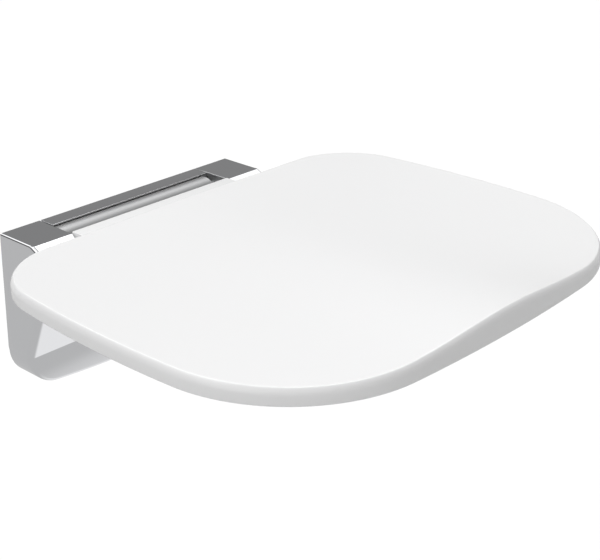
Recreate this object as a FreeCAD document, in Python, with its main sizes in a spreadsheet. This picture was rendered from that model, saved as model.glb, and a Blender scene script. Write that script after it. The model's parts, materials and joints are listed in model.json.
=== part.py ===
import FreeCAD, Part
import math
import os
import re
import Sketcher
from FreeCAD import Placement, Rotation, Vector

# Fold down wall seat. The wall is the plane y = 0, the seat reaches towards -Y, +Z is up.
# The origin is the centre of the four wall fixing holes.

doc = FreeCAD.newDocument("wall_seat")
sheet = doc.addObject("Spreadsheet::Sheet", "Sizes")

SIZES = {
    # bracket, outside
    "bracket_top": (70, "height of the bracket's top above the fixing centre"),
    "top_depth": (41, "depth of the flat top, from the wall"),
    "nose_depth": (63, "distance of the nose from the wall"),
    "nose_drop": (10.5, "how far the nose lies below the top"),
    "heel_depth": (28, "depth at the crease, from the wall"),
    "crease_drop": (99, "how far the crease lies below the top"),
    "bottom_drop": (131, "full height of the bracket"),
    "bottom_bow": (10, "rise of the bottom edge at the bracket's sides"),
    "side_flare": (2.4, "how much wider each side is at the crease"),
    "corner_round": (31, "round of the two lower corners"),
    "front_round": (6, "round of the upright front edges"),
    "cover_round": (2, "round of the lower cover's bottom edge"),
    "nose_round": (2.5, "round of the nose"),
    "edge_round": (0.8, "round of the housing's top edges"),
    "housing_wall": (3, "wall of the chrome housing and the lower cover"),
    "lower_inset": (0.6, "step from the housing back to the lower cover"),
    "opening_width": (168, "clear width between the two cheeks"),
    "cheek_width": (36, "width of each cheek at its top"),
    "cheek_wall": (2.5, "inner wall of each cheek"),
    "front_lip_drop": (16, "top of the housing's front wall, below the bracket's top"),
    "strip_depth": (15.4, "depth of the strip along the wall"),
    "strip_thick": (1.5, "thickness of the strip along the wall"),
    "strip_gap": (0.15, "gap at each end of the strip"),
    # wall fixing
    "gasket_thick": (1.5, "thickness of the rubber sheet on the wall"),
    "plate_thick": (5, "thickness of the wall plate"),
    "plate_margin": (2, "gap from the wall plate to the housing's wall"),
    "plate_lip": (3.5, "how far the wall plate's top lip stands forward"),
    "lip_thick": (4, "thickness of the wall plate's top lip"),
    "lip_inset": (1, "how much shorter the lip is than the opening, at each end"),
    "seat_gap": (0.1, "gap between flat pieces that lie on each other"),
    "fixing_width": (140, "distance between the fixing holes, across"),
    "fixing_height": (60, "distance between the fixing holes, upright"),
    "fixing_hole": (9, "diameter of the fixing holes"),
    "lug_width": (14, "width of each lug for the lower cover"),
    "lug_depth": (12, "depth of each lug"),
    "lug_height": (12, "height of each lug"),
    "lug_spread": (110, "distance between the two lugs"),
    "lug_lift": (2, "gap from the lower cover's floor to a lug"),
    # hinge
    "hinge_depth": (22, "distance of the hinge axis from the wall"),
    "hinge_drop": (14, "how far the hinge axis lies below the bracket's top"),
    "shaft_diameter": (12, "diameter of the hinge shaft"),
    "shaft_end_gap": (1.5, "how far the shaft ends inside the side frame"),
    "shaft_chamfer": (0.8, "chamfer of the shaft's ends"),
    "running_gap": (0.05, "radial running clearance on the shaft"),
    "barrel_diameter": (24, "outside of the hinge barrel"),
    "barrel_wall": (3, "wall of the hinge barrel"),
    "bush_length": (15, "length of a bush inside the barrel"),
    "flange_thick": (1.6, "thickness of a bush's flange"),
    "flange_diameter": (17, "diameter of a bush's flange"),
    "collar_gap": (0.4, "end gap between a bush and its stop collar"),
    "collar_length": (4.6, "length of a stop collar"),
    "collar_diameter": (23, "diameter of a stop collar"),
    "stop_height": (2.4, "height of the stop lugs, along the shaft"),
    "stop_spread": (30, "angle that each stop lug takes up, in degrees"),
    "fold_angle": (78, "how far the seat folds up"),
    "frame_thick": (16, "thickness of a side frame"),
    "frame_gap": (1.5, "gap from a cheek's inner wall to its side frame"),
    "frame_web": (6, "web of a side frame round its window"),
    "frame_back": (18, "web of a side frame behind its window"),
    "frame_head": (18, "web of a side frame between the rail and its window"),
    "fit_gap": (0.3, "gap between pieces that sit in each other"),
    # front rail and pads
    "rail_front": (52, "distance of the front rail's front from the wall"),
    "rail_depth": (12, "depth of the front rail"),
    "rail_height": (10, "height of the front rail"),
    "pad_thick": (3, "thickness of a rest pad"),
    "pad_length": (40, "length of a rest pad"),
    "pad_gap": (0.2, "gap between the rest pads and the leaf"),
    "pad_inset": (1, "how much narrower a rest pad is than the rail, on each side"),
    # screws
    "hole_gap": (0.2, "gap round a screw in its clearance hole"),
    "tap_gap": (0.1, "gap round a screw in its threaded hole"),
    "frame_screw": (6, "diameter of the screws into the side frames"),
    "frame_screw_head": (12, "head of the screws into the side frames"),
    "frame_screw_sink": (3.1, "height of that countersunk head"),
    "frame_screw_length": (20, "length of the screws into the side frames"),
    "upper_screw": (34, "how far the upper of those screws lies below the top"),
    "lower_screw": (72, "how far the lower of those screws lies below the top"),
    "rail_screw": (4, "diameter of the rail's screws"),
    "rail_screw_head": (7, "head of the rail's screws"),
    "rail_screw_bite": (14, "how far the rail's screws reach into the rail"),
    "cover_screw": (4, "diameter of the lower cover's screws"),
    "cover_screw_head": (7, "head of the lower cover's screws"),
    "cover_screw_cap": (2.2, "height of that head"),
    "cover_screw_seat": (3.2, "where that head ends, above the bracket's lowest point"),
    "cover_screw_length": (14, "length of the lower cover's screws"),
    "set_screw": (5, "diameter of the grub screws on the shaft"),
    "set_screw_length": (4, "length of the grub screws"),
    "pan_screw": (2.8, "diameter of the bottom cover's screws"),
    "pan_screw_head": (6.2, "head of the bottom cover's screws"),
    "pan_screw_sink": (1.7, "height of that countersunk head"),
    "pan_screw_length": (9, "length of the bottom cover's screws"),
    # seat
    "seat_width": (400, "width of the seat at its middle"),
    "seat_back": (74, "distance of the seat's rear edge from the wall"),
    "seat_front": (388, "reach of the seat from the wall"),
    "side_bow": (13, "bow of each side"),
    "front_bow": (13, "bow of the front edge"),
    "rear_corner": (62, "round of the rear corners"),
    "front_corner": (98, "round of the front corners"),
    "seat_lift": (0.5, "underside of the seat above the bracket's top"),
    "rim_height": (13.2, "height of the seat's rim"),
    "dish_depth": (2.2, "depth of the seat's hollow"),
    "ridge_height": (7.6, "height of the ridge at the front edge"),
    "ridge_spread": (72, "half width of the ridge"),
    "ridge_back": (1.2, "height of the ridge at the rear edge"),
    "top_round": (5.5, "round of the seat's upper edge"),
    "under_bevel": (1.5, "bevel of the seat's lower edge"),
    "skin": (4, "thickness of the seat's top"),
    "skirt": (4, "thickness of the seat's side wall"),
    "rib_thick": (2.5, "thickness of the ribs in the seat"),
    "boss_diameter": (11, "diameter of the screw bosses in the seat"),
    "pan_thick": (2.5, "thickness of the bottom cover"),
    "tongue_gap": (3, "gap from the seat's tongue to each cheek"),
    "tongue_back": (40, "distance of the tongue's end from the wall"),
    "tongue_front": (128, "where the tongue ends under the seat"),
    "tongue_top": (1.5, "top of the tongue above the bracket's top"),
    "tongue_drop": (9, "underside of the tongue below the bracket's top"),
    "tongue_round": (2, "round of the tongue's rear edges"),
    # hinge leaf
    "leaf_inset": (11, "how much narrower the hinge leaf is than the tongue, on each side"),
    "leaf_thick": (5, "thickness of the hinge leaf"),
    "leaf_front": (120, "where the hinge leaf ends under the seat"),
    "leaf_corner": (14, "round of the leaf's front corners"),
    "leaf_screw": (5, "diameter of the leaf's screws"),
    "leaf_screw_head": (9.4, "head of the leaf's screws"),
    "leaf_screw_sink": (2.4, "height of that countersunk head"),
    "leaf_screw_rear": (76, "distance of the rear row of the leaf's screws from the wall"),
    "leaf_screw_front": (106, "distance of the front row of the leaf's screws from the wall"),
    "leaf_screw_edge": (20, "distance of the leaf's screws from its sides"),
    "insert_diameter": (7.2, "diameter of the threaded inserts"),
    "insert_length": (8, "length of the threaded inserts"),
}

for row, (alias, (value, note)) in enumerate(SIZES.items(), start=1):
    sheet.set(f"A{row}", note)
    sheet.set(f"B{row}", str(value))
    sheet.setAlias(f"B{row}", alias)
doc.recompute()


def size(alias):
    return float(sheet.get(alias))


def rule(text):
    """Turns plain words into references to the sheet's cells."""
    def cell(match):
        word = match.group(0)
        return "Sizes." + word if word in SIZES else word
    return re.sub(r"[a-z][a-z_]+", cell, str(text))


def bind(item, **rules):
    for name, text in rules.items():
        item.setExpression(name.replace("_at_", "."), rule(text))
    return item


def place(item, x="0", y="0", z="0", turn=None):
    if turn:
        item.Placement = Placement(Vector(0, 0, 0), turn)
    item.setExpression("Placement.Base.x", rule(x))
    item.setExpression("Placement.Base.y", rule(y))
    item.setExpression("Placement.Base.z", rule(z))
    return item


ALONG_X = Rotation(Vector(0, 1, 0), 90)
ALONG_Y = Rotation(Vector(1, 0, 0), -90)


def box(name, x, y, z):
    """A box from three pairs of rules, each a low and a high limit."""
    item = doc.addObject("Part::Box", name)
    bind(item, Length=f"({x[1]}) - ({x[0]})", Width=f"({y[1]}) - ({y[0]})", Height=f"({z[1]}) - ({z[0]})")
    return place(item, x[0], y[0], z[0])


def rod(name, diameter, length, x="0", y="0", z="0", turn=None):
    item = doc.addObject("Part::Cylinder", name)
    bind(item, Radius=f"({diameter}) / 2", Height=length)
    return place(item, x, y, z, turn)


def cone(name, low, high, length, x="0", y="0", z="0", turn=None):
    item = doc.addObject("Part::Cone", name)
    bind(item, Radius1=f"({low}) / 2", Radius2=f"({high}) / 2", Height=length)
    return place(item, x, y, z, turn)


def cut(name, base, *tools):
    item = doc.addObject("Part::Cut", name)
    item.Base = base
    item.Tool = tools[0] if len(tools) == 1 else fuse(name + "_tools", *tools)
    return item


def fuse(name, *parts):
    item = doc.addObject("Part::MultiFuse", name)
    item.Shapes = list(parts)
    return item


def common(name, *parts):
    item = doc.addObject("Part::MultiCommon", name)
    item.Shapes = list(parts)
    return item


def group(name, *parts):
    """Separate solids that share one node."""
    item = doc.addObject("Part::Compound", name)
    item.Links = list(parts)
    return item


def solid_of(name, shape):
    item = doc.addObject("Part::Feature", name)
    item.Shape = shape
    return item


def rounded(name, base, radius, wanted):
    """Rounds the edges of base that the test wanted picks."""
    doc.recompute()
    item = doc.addObject("Part::Fillet", name)
    item.Base = base
    edges = enumerate(base.Shape.Edges, start=1)
    item.Edges = [(number, size(radius), size(radius)) for number, edge in edges if wanted(edge)]
    return item


nodes = []


def node(label, item):
    """Registers a finished sub-part under its own name."""
    item.Label = label
    nodes.append(item)
    return item


def middle(edge):
    return edge.valueAt((edge.FirstParameter + edge.LastParameter) / 2)


# Bracket: the outline seen from the side, from the front, and the solids between them

def side_profile():
    """The bracket from the side, as (y, z) points, from the wall's top corner forwards and down."""
    top = size("bracket_top")
    return [
        (0, top),
        (-size("top_depth"), top),
        (-size("nose_depth"), top - size("nose_drop")),
        (-size("heel_depth"), top - size("crease_drop")),
        (0, top - size("crease_drop")),
    ]


def inset_polygon(points, gap):
    """Moves every side of a convex polygon inwards by gap."""
    count = len(points)
    centre = (sum(p[0] for p in points) / count, sum(p[1] for p in points) / count)
    lines = []
    for start, end in zip(points, points[1:] + points[:1]):
        across = (start[1] - end[1], end[0] - start[0])
        length = math.hypot(*across)
        across = (across[0] / length, across[1] / length)
        inward = (centre[0] - start[0]) * across[0] + (centre[1] - start[1]) * across[1]
        sign = 1 if inward > 0 else -1
        normal = (across[0] * sign, across[1] * sign)
        lines.append((normal, normal[0] * start[0] + normal[1] * start[1] + gap))
    corners = []
    for (first, reach_a), (second, reach_b) in zip(lines[-1:] + lines[:-1], lines):
        spread = first[0] * second[1] - first[1] * second[0]
        y = (reach_a * second[1] - reach_b * first[1]) / spread
        z = (first[0] * reach_b - second[0] * reach_a) / spread
        corners.append((y, z))
    return corners


def side_prism(name, points, width):
    """A solid across the bracket, from its side profile."""
    face = Part.Face(Part.makePolygon([Vector(-width / 2, y, z) for y, z in points + points[:1]]))
    return solid_of(name, face.extrude(Vector(width, 0, 0)))


def front_prism(name, gap, depth, start=0.0):
    """The bracket's front outline moved inwards by gap and carried forwards from start to depth."""
    top = size("bracket_top")
    low_corner = top - size("bottom_drop") + size("bottom_bow")
    half_top = size("opening_width") / 2 + size("cheek_width")
    slope = size("side_flare") / size("crease_drop")
    half_low = half_top + slope * (top - low_corner)
    corners = [Vector(-half_low, 0, low_corner), Vector(-half_top, 0, top)]
    corners += [Vector(half_top, 0, top), Vector(half_low, 0, low_corner)]
    edges = [Part.makeLine(a, b) for a, b in zip(corners, corners[1:])]
    low_middle = Vector(0, 0, top - size("bottom_drop"))
    edges.append(Part.Arc(corners[-1], low_middle, corners[0]).toShape())
    body = Part.Face(Part.Wire(edges)).extrude(Vector(0, -depth, 0))
    lower = [e for e in body.Edges if abs(middle(e).z - low_corner) < 0.01 and abs(middle(e).y + depth / 2) < 0.01]
    body = body.makeFillet(size("corner_round"), lower)
    if gap:
        face = min(body.Faces, key=lambda f: f.CenterOfMass.y).makeOffset2D(-gap)
        body = face.extrude(Vector(0, -depth, 0))
        body.translate(Vector(0, depth, 0))
    body.translate(Vector(0, -start, 0))
    return solid_of(name, body)


bracket_width = size("opening_width") + 2 * size("cheek_width")
full_width = bracket_width + 4 * size("side_flare")
profile = side_profile()
wall = size("housing_wall")

# Rules that more than one piece follows

HALF_OPENING = "opening_width / 2"
HINGE_Y = "-hinge_depth"
HINGE_Z = "bracket_top - hinge_drop"
PLATE_FRONT = "-gasket_thick - plate_thick"
BARREL_HALF = "(opening_width / 2 - 2 * collar_gap - flange_thick - collar_length)"
RAIL_TOP = "bracket_top - tongue_drop - leaf_thick - pad_gap - pad_thick"
RAIL_LOW = f"{RAIL_TOP} - rail_height"
RAIL_MIDDLE = f"{RAIL_TOP} - rail_height / 2"
RAIL_SPAN = ("-rail_front", "-rail_front + rail_depth")
RAIL_SCREW_PLACES = ("-rail_front + rail_depth / 4", "-rail_front + rail_depth * 3 / 4")
FRAME_SCREW_DROPS = ("upper_screw", "lower_screw")
COVER_SCREW_Y = f"{PLATE_FRONT} - lug_depth / 2"
COVER_SEAT = "bracket_top - bottom_drop + cover_screw_seat"
LUG_LOW = "bracket_top - bottom_drop + housing_wall + plate_margin + lug_lift"
LEAF_HALF = "(opening_width / 2 - tongue_gap - leaf_inset)"
LEAF_LOW = "bracket_top - tongue_drop - leaf_thick"
LEAF_TOP = "bracket_top - tongue_drop"

barrel_half = (size("opening_width") / 2 - 2 * size("collar_gap") - size("flange_thick") - size("collar_length"))
tongue_half = size("opening_width") / 2 - size("tongue_gap")
leaf_half = tongue_half - size("leaf_inset")
under_seat = size("bracket_top") + size("seat_lift")
SIDES = (("left", -1), ("right", 1))
PAST = 1  # how far a cutting shape reaches past the face it cuts


def frame_middle(sign):
    return f"{sign} * (opening_width / 2 + cheek_wall + frame_gap + frame_thick / 2)"


def build_housing():
    """Chrome console: one shell with two cheeks, open to the wall, below, and between the cheeks."""
    reach = size("nose_depth") + PAST
    outer = common("housing_block", side_prism("housing_side", profile, full_width),
                   front_prism("housing_front", 0, reach))
    top = size("bracket_top")
    half = bracket_width / 2

    def upright(edge):
        spot = middle(edge)
        leaning = abs(edge.Vertexes[0].Z - edge.Vertexes[-1].Z) > size("nose_drop") * 3
        return abs(spot.x) > half * 0.9 and spot.y < -size("heel_depth") and leaning

    outer = rounded("housing_upright", outer, "front_round", upright)

    def nose(edge):
        spot = middle(edge)
        return abs(spot.x) < 1 and abs(spot.y + size("nose_depth")) < 0.1

    def crown(edge):
        spot = middle(edge)
        aside = abs(spot.x) > half * 0.9 and edge.BoundBox.XLength < 1
        return aside and spot.z > top - size("nose_drop") * 0.7

    outer = rounded("housing_nose", outer, "nose_round", nose)
    outer = rounded("housing_crown", outer, "edge_round", crown)

    crease = top - size("crease_drop")
    inner_points = [(y if y < -wall - PAST else PAST, z if z > crease + wall + PAST else z - wall - PAST)
                    for y, z in inset_polygon(profile, wall)]
    inner = common("housing_hollow", side_prism("housing_inner_side", inner_points, full_width),
                   front_prism("housing_inner_front", wall, reach, -PAST))
    shell = cut("housing_shell", outer, inner)

    mouth = box("housing_mouth", (f"-{HALF_OPENING}", HALF_OPENING), (f"-nose_depth - {PAST}", f"{PAST}"),
                ("bracket_top - front_lip_drop", f"bracket_top + {PAST}"))
    shell = cut("housing_open", shell, mouth)

    cheeks = []
    for side, sign in SIDES:
        low = f"-{HALF_OPENING} - cheek_wall" if sign < 0 else HALF_OPENING
        high = f"-{HALF_OPENING}" if sign < 0 else f"{HALF_OPENING} + cheek_wall"
        across = (f"{low} - {PAST}", f"{high} + {PAST}")
        slab = box(f"{side}_cheek_slab", (low, high), ("-nose_depth", PLATE_FRONT),
                   ("bracket_top - crease_drop / 2", "bracket_top"))
        trim = side_prism(f"{side}_cheek_side", profile, full_width)
        cheek = common(f"{side}_cheek_wall", slab, trim)
        slot = box(f"{side}_cheek_slot", across, (HINGE_Y, f"{PAST}"),
                   (f"{HINGE_Z} - shaft_diameter / 2 - fit_gap", f"{HINGE_Z} + shaft_diameter / 2 + fit_gap"))
        slot_end = rod(f"{side}_cheek_round", "shaft_diameter + 2 * fit_gap", f"cheek_wall + {2 * PAST}",
                       across[0], HINGE_Y, HINGE_Z, ALONG_X)
        rail_way = box(f"{side}_cheek_rail_way", across, (f"{RAIL_SPAN[0]} - fit_gap", f"{RAIL_SPAN[1]} + fit_gap"),
                       (f"{RAIL_LOW} - fit_gap", f"{RAIL_TOP} + fit_gap"))
        cheeks.append(cut(f"{side}_cheek", cheek, slot, slot_end, rail_way))
    return node("bracket_housing", fuse("housing", shell, *cheeks))


def build_lower_cover():
    """Chrome cover below the crease, open to the wall and upwards; its round shrinks down the upright corners."""
    inset = size("lower_inset")
    reach = size("heel_depth") - inset
    crown_low = size("bracket_top") - size("crease_drop")
    body = front_prism("cover_outline", inset, reach)
    crown = box("cover_crown", ("-opening_width", "opening_width"), ("-nose_depth", f"{PAST}"),
                ("bracket_top - crease_drop", f"bracket_top + {PAST}"))
    body = cut("cover_block", body, crown)
    doc.recompute()
    item = doc.addObject("Part::Fillet", "cover_rim")
    item.Base = body
    rounds = []
    for number, edge in enumerate(body.Shape.Edges, start=1):
        ends = [edge.valueAt(edge.FirstParameter), edge.valueAt(edge.LastParameter)]
        spot = middle(edge)
        if any(abs(p.y + reach) > 0.01 for p in ends + [spot]) or spot.z > crown_low - 0.01:
            continue
        radii = [size("front_round") if p.z > crown_low - 0.01 else size("cover_round") for p in ends]
        rounds.append((number, *radii))
    item.Edges = rounds
    hollow = front_prism("cover_hollow", inset + wall, reach - wall + PAST, -PAST)
    shell = cut("cover_shell", item, hollow)
    holes = []
    for side, sign in SIDES:
        spot = f"{sign} * lug_spread / 2"
        start = f"bracket_top - bottom_drop - {PAST}"
        holes.append(rod(f"cover_hole_{side}", "cover_screw + 2 * hole_gap", "bottom_drop / 4", spot, COVER_SCREW_Y,
                         start))
        holes.append(rod(f"cover_seat_{side}", "cover_screw_head + 2 * hole_gap", f"cover_screw_seat + {PAST}", spot,
                         COVER_SCREW_Y, start))
    return node("lower_cover", cut("cover", shell, *holes))


def build_rear_strip():
    """Chrome strip along the wall, between the cheeks."""
    strip = box("strip_body", (f"-{HALF_OPENING} + strip_gap", f"{HALF_OPENING} - strip_gap"), ("-strip_depth", "0"),
                ("bracket_top - strip_thick", "bracket_top"))
    return node("rear_strip", strip)


# Wall plate, gasket and what is screwed to them

def fixing_holes(name, start, depth):
    holes = []
    for side, across in SIDES:
        for level, up in (("low", -1), ("high", 1)):
            holes.append(rod(f"{name}_{side}_{level}", "fixing_hole", depth, f"{across} * fixing_width / 2", start,
                             f"{up} * fixing_height / 2", ALONG_Y))
    return holes


def build_wall_plate():
    """Steel plate with a top lip under the strip and two lugs for the lower cover."""
    body = front_prism("plate_outline", wall + size("plate_margin"), size("plate_thick"), size("gasket_thick"))
    lip = box("plate_lip_bar", (f"-{HALF_OPENING} + lip_inset", f"{HALF_OPENING} - lip_inset"),
              (f"{PLATE_FRONT} - plate_lip", "-gasket_thick"),
              ("bracket_top - strip_thick - seat_gap - lip_thick", "bracket_top - strip_thick - seat_gap"))
    lugs = []
    holes = fixing_holes("plate_hole", f"{PLATE_FRONT} - {PAST}", f"plate_thick + {2 * PAST}")
    for side, sign in SIDES:
        spot = f"{sign} * lug_spread / 2"
        lugs.append(box(f"plate_lug_{side}", (f"{spot} - lug_width / 2", f"{spot} + lug_width / 2"),
                        (f"{PLATE_FRONT} - lug_depth", PLATE_FRONT), (LUG_LOW, f"{LUG_LOW} + lug_height")))
        holes.append(rod(f"plate_lug_hole_{side}", "cover_screw + 2 * tap_gap", f"lug_height + {2 * PAST}", spot,
                         COVER_SCREW_Y, f"{LUG_LOW} - {PAST}"))
        for rank, drop in enumerate(FRAME_SCREW_DROPS):
            height = f"bracket_top - {drop}"
            holes.append(rod(f"plate_frame_hole_{side}_{rank}", "frame_screw + 2 * hole_gap",
                             f"plate_thick + {2 * PAST}", frame_middle(sign), f"{PLATE_FRONT} - {PAST}", height,
                             ALONG_Y))
            holes.append(cone(f"plate_frame_sink_{side}_{rank}", "frame_screw + 2 * hole_gap",
                              "frame_screw_head + 4 * hole_gap", "frame_screw_sink + hole_gap", frame_middle(sign),
                              "-gasket_thick - frame_screw_sink - seat_gap", height, ALONG_Y))
    return node("wall_plate", cut("plate", fuse("plate_solid", body, lip, *lugs), *holes))


def build_wall_gasket():
    sheet_body = front_prism("gasket_outline", wall + size("plate_margin"), size("gasket_thick"))
    holes = fixing_holes("gasket_hole", f"-gasket_thick - {PAST}", f"gasket_thick + {2 * PAST}")
    return node("wall_gasket", cut("gasket", sheet_body, *holes))


def build_side_frame(side, sign):
    """Cast side frame: the bracket's profile inside the housing, with the shaft's bore and a window."""
    body = doc.addObject("PartDesign::Body", f"{side}_frame_body")
    plate_front = -size("gasket_thick") - size("plate_thick")
    points = [(min(y, plate_front), z) for y, z in inset_polygon(profile, wall + size("fit_gap"))]

    def sketch(name):
        item = body.newObject("Sketcher::SketchObject", name)
        plane = [f for f in body.Origin.OriginFeatures if f.Role == "YZ_Plane"][0]
        item.AttachmentSupport = [(plane, "")]
        item.MapMode = "FlatFace"
        item.setExpression("AttachmentOffset.Base.z", rule(f"{frame_middle(sign)} - frame_thick / 2"))
        return item

    def draw(item, corners):
        for start, end in zip(corners, corners[1:] + corners[:1]):
            item.addGeometry(Part.LineSegment(Vector(*start, 0), Vector(*end, 0)))
        for number in range(len(corners)):
            item.addConstraint(Sketcher.Constraint("Coincident", number, 2, (number + 1) % len(corners), 1))

    def pocket(name, profile_sketch):
        item = body.newObject("PartDesign::Pocket", name)
        item.Profile = profile_sketch
        item.Reversed = True
        return bind(item, Length="frame_thick")

    outline = sketch(f"{side}_frame_outline")
    draw(outline, points)
    pad = body.newObject("PartDesign::Pad", f"{side}_frame_pad")
    pad.Profile = outline
    bind(pad, Length="frame_thick")

    bore = sketch(f"{side}_frame_bore")
    centre = Vector(-size("hinge_depth"), size("bracket_top") - size("hinge_drop"), 0)
    radius = size("shaft_diameter") / 2 + size("running_gap")
    bore.addGeometry(Part.Circle(centre, Vector(0, 0, 1), radius))
    bore.addConstraint(Sketcher.Constraint("Radius", 0, radius))
    bore.setExpression("Constraints[0]", rule("shaft_diameter / 2 + running_gap"))
    pocket(f"{side}_frame_drill", bore)

    web = size("frame_web")
    (high_y, high_z), (low_y, low_z) = points[2:4]
    slope = (low_y - high_y) / (low_z - high_z)
    head_z = (size("bracket_top") - size("tongue_drop") - size("leaf_thick") - size("pad_gap") - size("pad_thick")
              - size("rail_height") - size("frame_head"))
    rear = plate_front - size("frame_back")
    foot_z = max(high_z + (rear - web - high_y) / slope, low_z + web)
    window = [(rear, head_z), (high_y + (head_z - high_z) * slope + web, head_z), (rear, foot_z)]
    window_lines = sketch(f"{side}_frame_window")
    draw(window_lines, window)
    body.Tip = pocket(f"{side}_frame_pocket", window_lines)
    doc.recompute()

    holes = []
    for rank, drop in enumerate(FRAME_SCREW_DROPS):
        depth = "frame_screw_length - plate_thick + hole_gap"
        holes.append(rod(f"{side}_frame_tap_{rank}", "frame_screw + 2 * tap_gap", f"{depth} + {PAST}",
                         frame_middle(sign), f"{PLATE_FRONT} - ({depth})", f"bracket_top - {drop}", ALONG_Y))
    holes.append(rod(f"{side}_frame_set_hole", "set_screw + tap_gap", "hinge_drop", frame_middle(sign),
                     HINGE_Y, HINGE_Z))
    for rank, y in enumerate(RAIL_SCREW_PLACES):
        holes.append(rod(f"{side}_rail_hole_{rank}", "rail_screw + 2 * hole_gap", f"frame_thick + {2 * PAST}",
                         f"{frame_middle(sign)} - frame_thick / 2 - {PAST}", y, RAIL_MIDDLE, ALONG_X))
    return node(f"{side}_side_frame", cut(f"{side}_frame", body, *holes))


def build_frame_screws():
    """Countersunk screws from behind the wall plate into the side frames."""
    screws = []
    for side, sign in SIDES:
        for rank, drop in enumerate(FRAME_SCREW_DROPS):
            height = f"bracket_top - {drop}"
            shank = rod(f"frame_screw_shank_{side}_{rank}", "frame_screw", "frame_screw_length", frame_middle(sign),
                        "-gasket_thick - frame_screw_length", height, ALONG_Y)
            head = cone(f"frame_screw_head_{side}_{rank}", "frame_screw", "frame_screw_head", "frame_screw_sink",
                        frame_middle(sign), "-gasket_thick - frame_screw_sink", height, ALONG_Y)
            screws.append(fuse(f"frame_screw_{side}_{rank}", shank, head))
    return node("frame_screws", group("frame_screw_set", *screws))


def build_front_rail():
    end = "(opening_width / 2 + cheek_wall + frame_gap)"
    rail = box("rail_bar", (f"-{end}", end), RAIL_SPAN, (RAIL_LOW, RAIL_TOP))
    depth = "rail_screw_bite + fit_gap"
    taps = []
    for side, sign in SIDES:
        start = f"-{end} - {PAST}" if sign < 0 else f"{end} - ({depth})"
        for rank, y in enumerate(RAIL_SCREW_PLACES):
            taps.append(rod(f"rail_tap_{side}_{rank}", "rail_screw + 2 * tap_gap", f"{depth} + {PAST}", start, y,
                            RAIL_MIDDLE, ALONG_X))
    return node("front_rail", cut("rail", rail, *taps))


def build_rail_screws():
    """Cap screws through the side frames; a head is as high as its shank is wide."""
    screws = []
    for side, sign in SIDES:
        outside = f"{frame_middle(sign)} + {sign} * frame_thick / 2"
        start = outside if sign < 0 else f"{outside} - frame_thick - rail_screw_bite"
        head_start = f"{outside} - rail_screw" if sign < 0 else outside
        for rank, y in enumerate(RAIL_SCREW_PLACES):
            shank = rod(f"rail_shank_{side}_{rank}", "rail_screw", "frame_thick + rail_screw_bite", start, y,
                        RAIL_MIDDLE, ALONG_X)
            head = rod(f"rail_head_{side}_{rank}", "rail_screw_head", "rail_screw", head_start, y, RAIL_MIDDLE,
                       ALONG_X)
            screws.append(fuse(f"rail_screw_{side}_{rank}", shank, head))
    return node("rail_screws", group("rail_screw_set", *screws))


def build_rest_pads():
    pads = []
    for side, sign in SIDES:
        spot = f"{sign} * opening_width / 4"
        pads.append(box(f"pad_{side}", (f"{spot} - pad_length / 2", f"{spot} + pad_length / 2"),
                        (f"{RAIL_SPAN[0]} + pad_inset", f"{RAIL_SPAN[1]} - pad_inset"),
                        (RAIL_TOP, f"{RAIL_TOP} + pad_thick")))
    return node("rest_pads", group("pad_pair", *pads))


# Hinge

def build_shaft():
    reach = "(opening_width / 2 + cheek_wall + frame_gap + frame_thick - shaft_end_gap)"
    shaft = rod("shaft_bar", "shaft_diameter", f"2 * {reach}", f"-{reach}", HINGE_Y, HINGE_Z, ALONG_X)
    doc.recompute()
    item = doc.addObject("Part::Chamfer", "shaft_ends")
    item.Base = shaft
    bevel = size("shaft_chamfer")
    item.Edges = [(n, bevel, bevel) for n, e in enumerate(shaft.Shape.Edges, start=1) if "Circle" in str(e.Curve)]
    return node("hinge_shaft", item)


def build_set_screws():
    screws = [rod(f"set_screw_{side}", "set_screw", "set_screw_length", frame_middle(sign), HINGE_Y,
                  f"{HINGE_Z} + shaft_diameter / 2 + running_gap / 2") for side, sign in SIDES]
    return node("shaft_set_screws", group("set_screw_pair", *screws))


def build_barrel():
    """Satin tube round the shaft; each end has a stop lug that meets the collar when the seat is up."""
    outer = rod("barrel_outer", "barrel_diameter", f"2 * {BARREL_HALF}", f"-{BARREL_HALF}", HINGE_Y, HINGE_Z, ALONG_X)
    inner = rod("barrel_inner", "barrel_diameter - 2 * barrel_wall", f"2 * {BARREL_HALF} + {2 * PAST}",
                f"-{BARREL_HALF} - {PAST}", HINGE_Y, HINGE_Z, ALONG_X)
    tube = cut("barrel_tube", outer, inner)
    lugs = [stop_sector(f"barrel_stop_{side}", sign * barrel_half, sign, 0) for side, sign in SIDES]
    return node("hinge_barrel", fuse("barrel", tube, *lugs))


def stop_sector(name, start, sign, angle):
    """A short lug between the barrel's wall radii; angle 0 points straight up, positive leans forwards."""
    inner = size("barrel_diameter") / 2 - size("barrel_wall")
    outer = size("collar_diameter") / 2
    spread = math.radians(size("stop_spread") / 2)
    turn = math.radians(angle)

    def point(radius, bend):
        lean = turn + bend
        return Vector(start, -size("hinge_depth") - radius * math.sin(lean),
                      size("bracket_top") - size("hinge_drop") + radius * math.cos(lean))

    edges = [
        Part.Arc(point(inner, -spread), point(inner, 0), point(inner, spread)).toShape(),
        Part.makeLine(point(inner, spread), point(outer, spread)),
        Part.Arc(point(outer, spread), point(outer, 0), point(outer, -spread)).toShape(),
        Part.makeLine(point(outer, -spread), point(inner, -spread)),
    ]
    face = Part.Face(Part.Wire(edges))
    return solid_of(name, face.extrude(Vector(sign * size("stop_height"), 0, 0)))


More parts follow.
